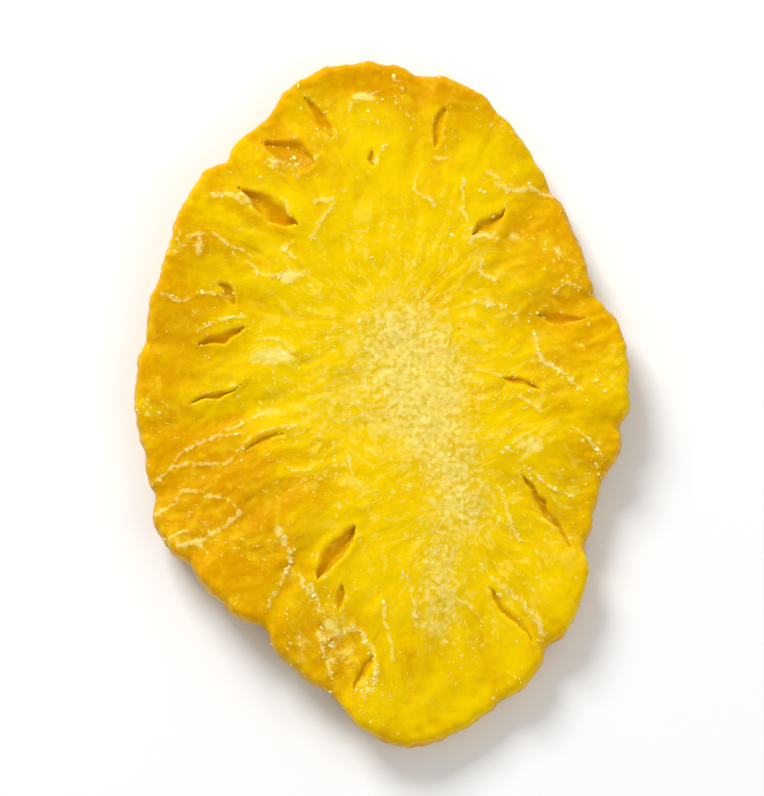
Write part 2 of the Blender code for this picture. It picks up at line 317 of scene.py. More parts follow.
# Crusts: patches of the top face where juice has come out on the flesh and its sugar has dried thick
# and pale.
CRUST_SPOTS = (  # centre, radii in mm, strength
    ((-9.0, -29.4), (2.2, 3.0), 0.45),
    ((-7.6, -34.0), (2.2, 3.4), 0.5),
    ((-4.4, -37.8), (1.8, 2.2), 0.35),
    ((-16.6, 5.0), (3.6, 1.3), 1.0),
    ((-4.6, 40.2), (1.9, 0.7), 1.2),
    ((-14.6, 15.4), (1.7, 1.2), 1.0),
    ((17.2, -6.8), (2.6, 1.6), 0.75),
    ((-14.6, 32.4), (1.8, 1.0), 0.45),
    ((15.4, 21.2), (1.1, 0.8), 0.8),
    ((-26.5, -19.5), (2.6, 1.4), 0.5),
    ((-17.6, -2.4), (2.6, 1.0), 0.5),
    ((-12.8, -33.2), (1.6, 2.4), 0.5),
)

# Curds: places of the top face where the flesh has torn and dried in small knobs, mostly beside the
# larger slits and at the rim's lower left.
CURD_SPOTS = (  # centre, radii in mm, strength
    ((-8.0, -33.0), (4.0, 6.5), 1.0),
    ((-14.0, -23.0), (2.6, 4.0), 0.7),
    ((-26.0, -17.5), (4.5, 3.5), 0.6),
    ((-15.0, 31.0), (4.0, 2.4), 0.4),
    ((15.0, 21.0), (4.0, 3.0), 0.25),
    ((-4.0, 41.0), (4.5, 1.8), 0.4),
)

# Core: the tough pale cord at the fruit's heart. The slanted cut shows it as a broad patch with a
# long tail.
CORE_SPOTS = (  # centre, radii in mm, strength
    ((3.6, 0.0), (5.0, 7.5), 0.8),
    ((0.0, 8.0), (4.8, 4.8), 0.5),
    ((2.4, 2.0), (9.0, 13.0), 0.3),
    ((7.6, -10.5), (4.2, 5.5), 0.5),
    ((9.4, -16.0), (4.4, 4.0), 0.4),
    ((5.2, -23.5), (3.4, 5.5), 0.5),
    ((5.0, -29.5), (3.2, 4.2), 0.36),
    ((-6.0, -1.0), (5.0, 6.0), 0.15),
    ((-10.0, -3.0), (7.0, 6.0), 0.16),
    ((-8.0, 7.0), (6.0, 6.0), 0.1),
)

# Pits: rows of small dark pores between the fibres, on the core's right and upper edges.
PIT_SPOTS = (  # centre, radii in mm, strength
    ((7.4, 7.0), (1.5, 5.0), 1.0),
    ((9.2, 0.0), (1.6, 4.0), 0.8),
    ((3.0, 13.5), (3.0, 3.0), 0.7),
    ((11.0, -8.0), (1.4, 4.0), 0.5),
)

# Gold: where the flesh is darker, or lighter where the strength is below 0. It is also darker
# towards the rim and all round the side.
GOLD_SPOTS = (  # centre, radii in mm, strength
    ((-20, -19), (8, 7), 0.7),
    ((-24, -12), (9, 6), 0.5),
    ((-23, -5), (8, 8), 0.45),
    ((-28, 14), (5, 6), 0.25),
    ((4, 12), (6, 7), 0.2),
    ((-10, -11), (7, 5), 0.2),
    ((22, 10), (8, 10), 0.38),
    ((21, 22), (6, 7), 0.35),
    ((-1, 43), (12, 3.5), 0.8),
    ((-13, 32), (5, 4), 0.3),
    ((-28, 10), (6, 12), 0.25),
    ((-31, 1), (4, 5), 0.25),
    ((5, 15), (5, 5), 0.25),
    ((-14, -28), (8, 6), 0.3),
    ((3, -34), (10, 5), 0.1),
    ((-12, 4), (9, 8), -0.45),
    ((-8, -24), (4, 5), -0.2),
    ((-1, 17), (10, 9), -0.3),
    ((-4, 36), (5, 5), -0.35),
    ((-4, -38), (5, 5), 0.25),
    ((2, 40), (6, 3), 0.2),
    ((13, 32), (5, 4), -0.25),
    ((29, -1), (5, 6), -0.35),
    ((19, -22), (7, 10), -0.2),
    ((14, -29), (8, 8), -0.45),
    ((4, -41), (12, 5), -0.6),
    ((-3, -22), (6, 6), -0.1),
    ((-24, 0), (6, 2.4), -0.3),
)
GOLD_START = 0.35
GOLD_POWER = 1.5
RIM_GOLD = 0.6
FLANK_GOLD = 0.6
FULL_SLIT = 0.8 * MM


def nearness(x, y, lines):
    """From 0 away from a set of lines to 1 on them."""
    found = np.zeros(len(x))
    for half_width, points in lines:
        for start, end in zip(points, points[1:]):
            u, across = along_run(x, y, start, end)
            past = np.maximum(0, np.abs(u) - 1) * np.hypot(*np.subtract(end, start)) / 2
            found = np.maximum(found, np.exp(-(across**2 + past**2) / (2 * half_width) ** 2))
    return found


def patches(x, y, spots):
    """The sum of soft oval patches, each with its centre, its radii in mm and its strength."""
    found = np.zeros(len(x))
    for centre, radii, strength in spots:
        dx = (x / MM - centre[0]) / radii[0]
        dy = (y / MM - centre[1]) / radii[1]
        found += strength * np.exp(-(dx * dx + dy * dy))
    return found


# The flesh is laid out in rings of points, from the heart of the top face round the side and back.
# A ring near the heart has fewer points, so that all faces come out nearly one size.
RIM_POINTS = 832
TOP_RINGS = 135
SIDE_RINGS = 12
UNDER_RINGS = 60
HALVINGS = ((0.6, 1), (0.3, 2), (0.15, 4), (0.075, 8), (0.0, 16))


def points_in_ring(share, fullest):
    for least_share, divisor in HALVINGS:
        if share > least_share:
            return fullest // divisor
    return 1


top = [(k / TOP_RINGS, 1.0, RIM_POINTS) for k in range(TOP_RINGS + 1)]
turns = [math.pi * (k + 1) / (SIDE_RINGS + 1) for k in range(SIDE_RINGS)]
around = [(1.0, math.cos(turn), RIM_POINTS) for turn in turns]
under = [(1 - k / UNDER_RINGS, -1.0, RIM_POINTS // 2) for k in range(UNDER_RINGS + 1)]
rings = [(share, side, points_in_ring(share, fullest))
         for share, side, fullest in top + around + under]

angle = np.concatenate([np.arange(n) / n * math.tau for _, _, n in rings])
share = np.concatenate([np.full(n, s) for s, _, n in rings])
side = np.concatenate([np.full(n, s) for _, s, n in rings])
edge_reach = (1 - np.abs(side) ** EDGE_SQUARENESS) ** (1 / EDGE_SQUARENESS)
rim = rim_radius(angle)
radius = (rim - EDGE_ROUND) * share + EDGE_ROUND * edge_reach
x, y = radius * np.cos(angle), radius * np.sin(angle)
to_rim = radius / rim

uneven = lumps(x, y, np.full(len(x), 5 * RIM_UNEVENNESS_LENGTH), RIM_UNEVENNESS_LENGTH)
rim_thickness = RIM_THICKNESS * (1 + RIM_UNEVENNESS * uneven)
half = (CORE_THICKNESS + (rim_thickness - CORE_THICKNESS) * to_rim**2) / 2
curl = round_spline(RIM_LIFTS_MM, angle) * MM * to_rim**CURL_POWER
level = curl + BUCKLE * lumps(x, y, 0 * x, BUCKLE_LENGTH) + half
ragged_x = x + sum(far * lumps(x, y, 0 * x, length) for far, length in WANDERS)
ragged_y = y + sum(far * lumps(y, x, 0 * x, length) for far, length in WANDERS)
eyes_below = list(under_eyes())
slits_above = deepest_slit(ragged_x, ragged_y, EYES)
slits_below = deepest_slit(ragged_x, ragged_y, eyes_below)
eye_depth = np.where(side > 0, slits_above, slits_below)
lips = np.where(side > 0, lip(ragged_x, ragged_y, EYES), lip(ragged_x, ragged_y, eyes_below))
dents = BUMP * lumps(x, y, side * MM, BUMP_LENGTH) + crease(angle, radius, to_rim)
dents += CORE_DISH * np.exp(-(radius / CORE_RADIUS) ** 4) + eye_depth
dents += np.where(side > 0, swell(x, y), 0) - LIP_HEIGHT * lips
z = level + side * (half - dents)
z = np.maximum(0, z - z.min() - FLAT_SPOT)


def bridge(first, count, other, other_count):
    """Faces between two rings of points, of which one may have twice as many as the other."""
    faces = []
    if count == 1 or other_count == 1:
        for j in range(max(count, other_count)):
            k = (j + 1) % max(count, other_count)
            faces.append((first, other + j, other + k) if count == 1 else (first + j, other, first + k))
    elif count == other_count:
        for j in range(count):
            k = (j + 1) % count
            faces.append((first + j, other + j, other + k, first + k))
    elif other_count == 2 * count:
        for j in range(count):
            k = (j + 1) % count
            near, far = other + 2 * j, other + (2 * j + 2) % other_count
            faces.append((first + j, near, near + 1))
            faces.append((first + j, near + 1, first + k))
            faces.append((first + k, near + 1, far))
    else:
        for j in range(other_count):
            k = (j + 1) % other_count
            near, far = first + 2 * j, first + (2 * j + 2) % count
            faces.append((near, other + j, near + 1))
            faces.append((near + 1, other + j, other + k))
            faces.append((near + 1, other + k, far))
    return faces


starts = np.cumsum([0] + [n for _, _, n in rings])
faces = []
for k in range(len(rings) - 1):
    faces += bridge(int(starts[k]), rings[k][2], int(starts[k + 1]), rings[k + 1][2])
mesh = bpy.data.meshes.new("flesh")
mesh.from_pydata(np.column_stack((x + HEART[0], y + HEART[1], z)).tolist(), [], faces)
mesh.update()
on_top = np.clip(2 * side, 0, 1)
flank = np.clip(1.3 - 1.8 * np.abs(side), 0, 1)
outward = np.clip((to_rim - GOLD_START) / (1 - GOLD_START), 0, 1)
gold = RIM_GOLD * outward**GOLD_POWER + FLANK_GOLD * flank
fields = {
    "slit": eye_depth / FULL_SLIT,
    "lip": lips,
    "membrane": on_top * nearness(ragged_x, ragged_y, MEMBRANES),
    "crust": on_top * patches(x, y, CRUST_SPOTS),
    "curd": on_top * patches(x, y, CURD_SPOTS),
    "core": patches(x, y, CORE_SPOTS),
    "pit": on_top * patches(x, y, PIT_SPOTS),
    "gold": gold + on_top * patches(x, y, GOLD_SPOTS),
    "crease": crease(angle, radius, to_rim) / CREASE_DEPTH,
    "to_rim": to_rim,
}
for name, values in fields.items():
    mesh.attributes.new(name, "FLOAT", "POINT").data.foreach_set("value", values.astype(np.float32))
flesh = add_object("flesh", mesh)


class Flow:
    """A value on its way through a tree of nodes. A sum written with it adds the nodes for it."""

    def __init__(self, tree, socket=None):
        self.tree = tree
        self.socket = socket

    def node(self, kind, settings=None, sockets=None, output=None):
        made = self.tree.nodes.new(kind)
        for name, value in (settings or {}).items():
            setattr(made, name, value)
        for name, value in (sockets or {}).items():
            named = [s for s in made.inputs if s.enabled and s.name == name]
            socket = named[0] if named else made.inputs[name]
            if isinstance(value, Flow):
                self.tree.links.new(value.socket, socket)
            else:
                socket.default_value = value
        outlets = [s for s in made.outputs if s.enabled and output in (None, s.name)]
        return Flow(self.tree, outlets[0])

    def other(self, output):
        """Another output of the node that made this value."""
        return Flow(self.tree, self.socket.node.outputs[output])

    def math(self, operation, *terms):
        return self.node("ShaderNodeMath", {"operation": operation}, dict(enumerate(terms)))

    def vector(self, operation, *terms):
        return self.node("ShaderNodeVectorMath", {"operation": operation}, dict(enumerate(terms)))

    def __add__(self, other):
        return self.math("ADD", self, other)

    def __radd__(self, other):
        return self.math("ADD", other, self)

    def __sub__(self, other):
        return self.math("SUBTRACT", self, other)

    def __rsub__(self, other):
        return self.math("SUBTRACT", other, self)

    def __mul__(self, other):
        return self.math("MULTIPLY", self, other)

    def __rmul__(self, other):
        return self.math("MULTIPLY", other, self)

    def __truediv__(self, other):
        return self.math("DIVIDE", self, other)

    def __pow__(self, other):
        return self.math("POWER", self, other)

    def greater(self, other):
        return self.math("MAXIMUM", self, other)

    def grey(self):
        """A colour's lightness as one number: a sum with a colour gives just that."""
        return self.math("MULTIPLY", self, 1.0)

    def swing(self, strength):
        """A pattern centred on zero, at that strength."""
        return strength * (self - 0.5)

    def feeds(self, socket):
        self.tree.links.new(self.socket, socket)

    def rise(self, low, high):
        """A smooth step from 0 at low to 1 at high."""
        limits = {"Value": self, "From Min": low, "From Max": high}
        return self.node("ShaderNodeMapRange", {"interpolation_type": "SMOOTHSTEP"}, limits)

    def scaled(self, factor):
        return self.node("ShaderNodeVectorMath", {"operation": "SCALE"}, {0: self, "Scale": factor})

    def noise(self, scale=1.0, detail=2.0, output="Fac"):
        grain = {"Vector": self, "Scale": scale, "Detail": detail}
        return self.node("ShaderNodeTexNoise", {}, grain, output)

    def cells(self, scale=1.0):
        return self.node("ShaderNodeTexVoronoi", {}, {"Vector": self, "Scale": scale}, "Distance")

    def mix(self, first, second):
        """The first colour where this mask is 0, the second where it is 1."""
        colours = {"Factor": self, "A": first, "B": second}
        return self.node("ShaderNodeMix", {"data_type": "RGBA"}, colours)

    def length(self):
        return self.node("ShaderNodeVectorMath", {"operation": "LENGTH"}, {0: self}, "Value")


# The core is a pale cord that the slanted cut shows as a long streak. The fibres run out from it to
# the rim on all sides, a little bent. Its ends are in mm from the heart.
CORE_TOP = Vector((-0.8, 8.5, 0.0))
CORE_FOOT = Vector((7.6, -13.5, 0.0))
BENDS_TO_A_MILLIMETRE = 0.11
CHANGE_ALONG_CORE = 0.06
CHANGE_WITH_HEIGHT = 0.3


def fan(place):
    """Distance from the core, the way outwards, and a function that lays a pattern on the fibres."""
    core = CORE_FOOT - CORE_TOP
    down = place.vector("SUBTRACT", place, CORE_TOP)
    terms = {0: down, 1: core / core.length_squared}
    down = place.node("ShaderNodeVectorMath", {"operation": "DOT_PRODUCT"}, terms, "Value")
    down = place.node("ShaderNodeClamp", sockets={"Value": down})
    on_core = place.node("ShaderNodeVectorMath", {"operation": "SCALE"}, {0: core, "Scale": down})
    on_core = place.vector("ADD", on_core, CORE_TOP)
    out = place.vector("MULTIPLY", place.vector("SUBTRACT", place, on_core), (1, 1, 0))
    reach = out.length()
    bearing = place.vector("NORMALIZE", out)
    bend = place.noise(BENDS_TO_A_MILLIMETRE, 1.0, "Color")
    bend = place.vector("SUBTRACT", bend, (0.5, 0.5, 0.5))
    height = place.node("ShaderNodeSeparateXYZ", {}, {"Vector": place}, "Z")

    def laid(around, length, wander=0.3):
        change = (CHANGE_ALONG_CORE, CHANGE_ALONG_CORE, 0)
        course = place.vector("MULTIPLY_ADD", bend, (wander, wander, 0), bearing)
        course = place.vector("MULTIPLY_ADD", on_core, change, course)
        along = reach / length + height * CHANGE_WITH_HEIGHT
        third = place.node("ShaderNodeCombineXYZ", {}, {"Z": along})
        return place.vector("ADD", course.scaled(around), third)

    return reach, bearing, laid


# The flesh runs from lemon in the middle through gold to amber at the rim, and the slits are painted
# amber as shade. Where it has dried out it is hazy, then straw, cream and paler still, and its pores
# are darker.
LEMON = (0.845, 0.585, 0.0003, 1)
GOLD_AND_SHADE = (0.69, 0.342, 0.0003, 1)
AMBER_AND_SHADE = (0.65, 0.29, 0.0003, 1)
HAZE = (0.87, 0.655, 0.008, 1)
STRAW = (0.9, 0.69, 0.07, 1)
CREAM = (0.825, 0.64, 0.12, 1)
CRUST = (0.93, 0.78, 0.20, 1)
PALE = (0.95, 0.82, 0.28, 1)
PORE = (0.7, 0.47, 0.004, 1)
PIT = (0.68, 0.41, 0.001, 1)


def shader_of(name):
    """A new material, with its shader and an empty value to start its sums from."""
    material = bpy.data.materials.new(name)
    material.use_nodes = True
    return material, material.node_tree.nodes["Principled BSDF"], Flow(material.node_tree)


flesh_material, shader, flow = shader_of("dried_flesh")
coords = flow.node("ShaderNodeTexCoord", output="Object")
place = flow.node("ShaderNodeMapping", sockets={
    "Vector": coords, "Location": (-HEART[0] / MM, -HEART[1] / MM, 0),
    "Scale": (1 / MM, 1 / MM, 1 / MM)})
mask = {name: flow.node("ShaderNodeAttribute", {"attribute_name": name}, output="Fac")
        for name in fields}
reach, _, laid = fan(place)

# Patterns along the fibres, with their number round the core and their length in mm.
strands = laid(24, 5.0).noise(detail=3.0)
threads = laid(62, 2.4).noise(detail=2.0)
streaks = laid(15, 3.2, 0.6).noise(detail=4.0)
bundles = laid(7, 13.0).noise(detail=1.0)
dashes = laid(26, 1.5, 0.5).cells()
pores = laid(24, 1.5, 0.5).cells()

# Patterns that follow no fibre, with their grains to a millimetre and their layers of detail.
blotches = place.noise(0.17, 3.0)
knobs = place.noise(0.55, 2.0)
mottle = place.noise(0.75, 4.0)
crumbs = place.noise(1.3, 4.0)
stipple = place.noise(1.5, 3.0)
skin = place.noise(2.6, 2.0)

# Places: round the core, in it, and in the ring of cut fibres beside it, in mm from its cord.
away = reach.rise(1.0, 7.0)
ring = reach.rise(3.0, 7.0) * (1 - reach.rise(11.0, 21.0))
inner = 1 - mask["to_rim"].rise(0.3, 0.75)
around_core = mask["core"].rise(0.03, 0.3)
in_core = mask["core"].rise(0.15, 0.7)

# Moist flesh: lemon to gold and amber, and hazy where its juice has dried on it. The fibre
# bundles add painted shade: darker gold in their valleys and lemon on their ridges. The slits,
# creases and the hollows between curds are painted amber as shade.
gold_and_valley_shade = mask["gold"] + blotches.swing(1.1) + strands.swing(0.7) + bundles.swing(-1.1)
gold_and_valley_shade = gold_and_valley_shade + mottle.swing(1.2)
colour = gold_and_valley_shade.rise(-0.15, 1.0).mix(LEMON, GOLD_AND_SHADE)
colour = (gold_and_valley_shade.rise(0.75, 1.8) * 0.7).mix(colour, AMBER_AND_SHADE)
# Painted shade: the slits, the creases and the hollows between curds turn amber.
deep = (mask["slit"] + mottle.swing(0.3)).rise(0.02, 0.4) * 0.88
hollow = (mask["curd"] * (1.0 - 1.6 * knobs)).rise(0.0, 0.4) * 0.7
colour = deep.greater(mask["crease"] * 0.3).greater(hollow).mix(colour, AMBER_AND_SHADE)
film = (mottle + blotches.swing(0.8) + streaks.swing(0.5)).rise(0.42, 0.82) * 0.5
colour = film.mix(colour, HAZE)

# The core: cream, frayed out along the fibres, with short rays beside it and dark pores and pits.
brushed = (streaks + mottle.swing(0.5)).rise(0.53, 0.66) * ring * 0.55
picked = dashes.other("Color").grey().rise(0.5, 0.55)
rays = (1 - dashes.rise(0.1, 0.42)) * picked * around_core * 0.5
grain = stipple.swing(1.8) + mottle.swing(1.0)
heart = away * (streaks.swing(0.9) + threads.swing(0.5)) + 0.6 * grain
heart = mask["core"] + heart * (0.45 + 0.55 * around_core)
heart = heart.rise(0.2, 0.85).greater(rays)
colour = heart.mix(brushed.mix(colour, STRAW), CREAM)
colour = ((0.1 - grain).rise(0.0, 0.5) * in_core * 0.7).mix(colour, PORE)
pits = (1 - pores.rise(0.15, 0.5)) * mask["pit"] + stipple.swing(0.8)
colour = (pits.rise(0.25, 0.7) * 0.7).mix(colour, PIT)

# What has dried on the surface: crusts, knobs and lips, then membranes, flour and the core's fluff.
# None of it lies down in the slits.
shown = 1 - deep
unpitted = (1 - mask["pit"]).greater(0.0)
crusted = (mask["crust"] + crumbs.swing(0.8) + streaks.swing(1.1)).rise(0.33, 0.85) * 0.8
knobbed = (mask["curd"] * (2.4 * knobs - 0.8) + crumbs.swing(1.0)).rise(0.3, 0.9) * 0.45
on_lip = (mask["lip"] * 0.55 + crumbs.swing(1.4)).rise(0.5, 0.95) * shown * 0.35
colour = (crusted.greater(on_lip).greater(knobbed) * shown).mix(colour, CRUST)
thin_line = 0.8 * mask["membrane"] + crumbs.swing(2.4) + blotches.swing(0.8)
thin_line = thin_line.rise(0.42, 0.95) * 0.55
flour = crumbs + stipple.swing(0.7) + blotches.swing(0.5) + 0.04 * ring + 0.06 * in_core
flour = flour.rise(0.7, 0.85) * 0.6
fluff = (crumbs + stipple.swing(0.8)).rise(0.48, 0.78) * in_core * unpitted * 0.8
colour = (thin_line.greater(flour).greater(fluff) * shown).mix(colour, PALE)
colour.feeds(shader.inputs["Base Color"])

# The moist flesh shines faintly yellow and lets light in. What is dry is duller and rougher.
dry = mask["crust"].greater(mask["membrane"]).greater(mask["core"] * 0.7)
(0.36 + 0.2 * dry + skin.swing(0.3)).feeds(shader.inputs["Roughness"])
height = (threads.swing(0.4) + strands.swing(0.4)) * (0.2 + 0.8 * inner) * away + skin.swing(0.4)
height = height + mask["crust"].greater(mask["membrane"]) * (crumbs - 0.3)
bump = flow.node("ShaderNodeBump", sockets={"Strength": 0.4, "Distance": 0.3 * MM, "Height": height})
bump.feeds(shader.inputs["Normal"])
shader.inputs["Subsurface Weight"].default_value = 0.6
shader.inputs["Subsurface Radius"].default_value = (1.0, 0.5, 0.04)
shader.inputs["Subsurface Scale"].default_value = 1.4 * MM
shader.inputs["Specular IOR Level"].default_value = 0.07
shader.inputs["Specular Tint"].default_value = (1.0, 0.82, 0.05, 1)


def new_tree(name, sizes):
    """A tree with the sizes as its named inputs: gives the tree and a value for each input."""
    tree = bpy.data.node_groups.new(name, "GeometryNodeTree")
    kinds = {float: "Float", int: "Int", tuple: "Vector",
             bpy.types.Material: "Material", bpy.types.Object: "Object"}
    tree.interface.new_socket("Geometry", in_out="INPUT", socket_type="NodeSocketGeometry")
    tree.interface.new_socket("Geometry", in_out="OUTPUT", socket_type="NodeSocketGeometry")
    for label, value in sizes.items():
        tree.interface.new_socket(label, in_out="INPUT", socket_type="NodeSocket" + kinds[type(value)])
    taps = {s.name: Flow(tree, s) for s in tree.nodes.new("NodeGroupInput").outputs if s.name}
    return tree, taps


def grow(piece, tree, taps, sizes, shape):
    """Ends the tree with the shape, runs it on the piece with these sizes and keeps the result."""
    real = shape.node("GeometryNodeRealizeInstances", sockets={"Geometry": shape})
    finished = real.node("GeometryNodeSetMaterial", sockets={
        "Geometry": real, "Material": taps["Material"]})
    finished.feeds(tree.nodes.new("NodeGroupOutput").inputs[0])
    modifier = piece.modifiers.new(tree.name, "NODES")
    modifier.node_group = tree
    for item in tree.interface.items_tree:
        if item.name in sizes:
            modifier[item.identifier] = sizes[item.name]
    ready = piece.evaluated_get(bpy.context.evaluated_depsgraph_get())
    made = bpy.data.meshes.new_from_object(ready)
    made.name = piece.name
    piece.modifiers.clear()
    piece.data = made


def attribute(flow, name):
    kind = {"data_type": "FLOAT"}
    return flow.node("GeometryNodeInputNamedAttribute", kind, {"Name": name}, "Attribute")


# The relief that drying has left: fibre bundles, juice sacs and strands run out from the core, and
# crusts, curds, membranes and the frayed rim stand up from the flesh.
relief_sizes = {
    "Heart": (HEART[0], HEART[1], 0.0),
    "Bundle Height": 0.27 * MM,
    "Bundles Around": 7.0,
    "Bundle Length": 13.0,
    "Sac Height": 0.1 * MM,
    "Sacs Around": 11.0,
    "Sac Length": 3.0,
    "Strand Height": 0.05 * MM,
    "Strands Around": 24.0,
    "Strand Length": 5.0,
    "Lump Height": 0.26 * MM,
    "Lumps To A Millimetre": 0.4,
    "Crust Height": 0.35 * MM,
    "Crumbs To A Millimetre": 0.9,
    "Knob Height": 0.7 * MM,
    "Knobs To A Millimetre": 0.55,
    "Fray Height": 0.22 * MM,
    "Frays To A Millimetre": 0.8,
    "Membrane Height": 0.1 * MM,
    "Dent Depth": 0.22 * MM,
    "Dents Around": 9.0,
    "Dent Length": 4.0,
    "Material": flesh_material,
}
tree, taps = new_tree("relief of the dried flesh", relief_sizes)
spot = Flow(tree).node("GeometryNodeInputPosition")
place = spot.vector("SUBTRACT", spot, taps["Heart"]).scaled(1 / MM)
reach, _, laid = fan(place)
bundles = laid(taps["Bundles Around"], taps["Bundle Length"]).noise(detail=1.0)
sacs = laid(taps["Sacs Around"], taps["Sac Length"]).cells()
strands = laid(taps["Strands Around"], taps["Strand Length"]).noise(detail=1.0)
dents = laid(taps["Dents Around"], taps["Dent Length"]).cells()
lump = place.noise(taps["Lumps To A Millimetre"], 2.0)
crumbs = place.noise(taps["Crumbs To A Millimetre"], 2.0)
knobs = place.noise(taps["Knobs To A Millimetre"], 2.0)
frays = place.noise(taps["Frays To A Millimetre"], 1.0)
outer = reach.rise(3.0, 12.0)
to_rim = attribute(spot, "to_rim")
inner = 1 - to_rim.rise(0.3, 0.8)
chance = dents.other("Color").grey().rise(0.62, 0.7)
lift = taps["Bundle Height"] * (2 * bundles - 1) * outer
lift = lift + taps["Sac Height"] * (0.45 - sacs) * outer
lift = lift + taps["Strand Height"] * (2 * strands - 1) * outer * inner
lift = lift + taps["Lump Height"] * (2 * lump - 1)
lift = lift + taps["Crust Height"] * attribute(spot, "crust") * (2 * crumbs - 0.7)
lift = lift + taps["Knob Height"] * attribute(spot, "curd") * (2 * knobs - 1)
lift = lift + taps["Fray Height"] * (2 * frays - 1) * to_rim.rise(0.9, 1.0)
lift = lift + taps["Membrane Height"] * attribute(spot, "membrane") * (0.5 + crumbs)
lift = lift - taps["Dent Depth"] * (1 - dents.rise(0.0, 0.36)) * chance * outer
lift = lift * (1 - 0.6 * attribute(spot, "slit"))
normal = spot.node("GeometryNodeInputNormal")
raised = spot.node("GeometryNodeSetPosition", sockets={
    "Geometry": taps["Geometry"], "Offset": normal.scaled(lift)})
above_floor = spot.vector("MAXIMUM", spot.node("GeometryNodeInputPosition"), (-1, -1, 0))
pressed = spot.node("GeometryNodeSetPosition", sockets={"Geometry": raised, "Position": above_floor})
grow(flesh, tree, taps, relief_sizes, pressed)
flesh.data.shade_smooth()
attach(flesh, "root")
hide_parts("pineapple_ring")


# Membranes of the top face: thin threads of dried cell wall, crusted with sugar, that stand up from
# the flesh along the membranes' lines and sink into it where they have broken.
MEMBRANE_GOLD = (0.9, 0.63, 0.012, 1)
MEMBRANE_PALE = (0.96, 0.8, 0.26, 1)
membrane_material, shader, flow = shader_of("dried_membrane")
coords = flow.node("ShaderNodeTexCoord", output="Object")
tone = coords.noise(0.75 / MM, 4.0).rise(0.42, 0.66)
tone.mix(MEMBRANE_GOLD, MEMBRANE_PALE).feeds(shader.inputs["Base Color"])
shader.inputs["Roughness"].default_value = 0.5
shader.inputs["Specular IOR Level"].default_value = 0.15
shader.inputs["Specular Tint"].default_value = (1.0, 0.9, 0.5, 1)

points, edges, widths = [], [], []
for half_width, line in MEMBRANES:
    edges += [(len(points) + k, len(points) + k + 1) for k in range(len(line) - 1)]
    points += [(HEART[0] + px * MM, HEART[1] + py * MM, 0) for px, py in line]
    widths += [half_width * MM] * len(line)
lines = bpy.data.meshes.new("membranes")
lines.from_pydata(points, edges, [])
lines.attributes.new("half_width", "FLOAT", "POINT").data.foreach_set("value", widths)
membranes = add_object("membranes", lines)


def surface(flow, taps):
    return flow.node("GeometryNodeObjectInfo", sockets={"Object": taps["Flesh"]}, output="Geometry")


membrane_sizes = {
    "Flesh": flesh,
    "Step": 0.2 * MM,
    "Wander": 1.3 * MM,
    "Wanders To A Metre": 600.0,
    "Ravel": 0.9 * MM,
    "Ravels To A Metre": 1800.0,
    "Broadening": 0.95,
    "Beads To A Metre": 1200.0,
    "Crumple": 0.1 * MM,
    "Crumples To A Metre": 3000.0,
    "Breaks To A Metre": 760.0,
    "Flatness": 0.5,
    "Farthest Out": 0.965,
    "Ray Start": (0.0, 0.0, 0.05),
    "Ray Length": 0.1,
    "Sides": 6,
    "Material": membrane_material,
}
tree, taps = new_tree("membranes", membrane_sizes)
flow = Flow(tree)
bed = surface(flow, taps)
spot = flow.node("GeometryNodeInputPosition")
above = spot.vector("MULTIPLY_ADD", spot, (1, 1, 0), taps["Ray Start"])
rim_below = flow.node("GeometryNodeRaycast", sockets={
    "Target Geometry": bed, "Attribute": attribute(flow, "to_rim"), "Source Position": above,
    "Ray Direction": (0, 0, -1), "Ray Length": taps["Ray Length"]}, output="Attribute")

run = flow.node("GeometryNodeMeshToCurve", sockets={"Mesh": taps["Geometry"]})
run = flow.node("GeometryNodeCurveSplineType", {"spline_type": "CATMULL_ROM"}, {"Curve": run})
run = flow.node("GeometryNodeResampleCurve", {"mode": "LENGTH"}, {"Curve": run, "Length": taps["Step"]})
wander = spot.noise(taps["Wanders To A Metre"], 3.0, "Color")
wander = spot.vector("SUBTRACT", wander, (0.5, 0.5, 0.5)).scaled(taps["Wander"])
ravel = spot.noise(taps["Ravels To A Metre"], 3.0, "Color")
ravel = spot.vector("SUBTRACT", ravel, (0.5, 0.5, 0.5)).scaled(taps["Ravel"])
stray = spot.vector("MULTIPLY", spot.vector("ADD", wander, ravel), (1, 1, 0))
run = flow.node("GeometryNodeSetPosition", sockets={"Geometry": run, "Offset": stray})
missed = 1 - rim_below.other("Is Hit")
past_rim = flow.math("GREATER_THAN", rim_below + missed, taps["Farthest Out"])
run = flow.node("GeometryNodeDeleteGeometry", {"domain": "POINT"},
                {"Geometry": run, "Selection": past_rim})

half_width = attribute(flow, "half_width")
beads = spot.noise(taps["Beads To A Metre"], 3.0).rise(0.4, 0.66)
radius = half_width * taps["Broadening"] * (0.05 + 0.95 * beads)
circle = flow.node("GeometryNodeCurvePrimitiveCircle", sockets={
    "Resolution": taps["Sides"], "Radius": 1.0})
tube = flow.node("GeometryNodeCurveToMesh", sockets={
    "Curve": run, "Profile Curve": circle, "Scale": radius, "Fill Caps": True})
crumple = taps["Crumple"] * (2 * spot.noise(taps["Crumples To A Metre"], 1.0) - 1)
crumple = flow.node("GeometryNodeInputNormal").scaled(crumple)
tube = flow.node("GeometryNodeSetPosition", sockets={"Geometry": tube, "Offset": crumple})
whole = above.noise(taps["Breaks To A Metre"], 3.0).rise(0.48, 0.6)
height = flow.node("ShaderNodeSeparateXYZ", {}, {"Vector": spot}, "Z") * taps["Flatness"]
height = height - half_width * (0.25 + 1.2 * (1 - whole))
sunk = flow.node("ShaderNodeCombineXYZ", sockets={"Z": height})
laid_down = flow.vector("ADD", rim_below.other("Hit Position"), sunk)
tube = flow.node("GeometryNodeSetPosition", sockets={"Geometry": tube, "Position": laid_down})
grow(membranes, tree, taps, membrane_sizes, tube)
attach(membranes, "root")


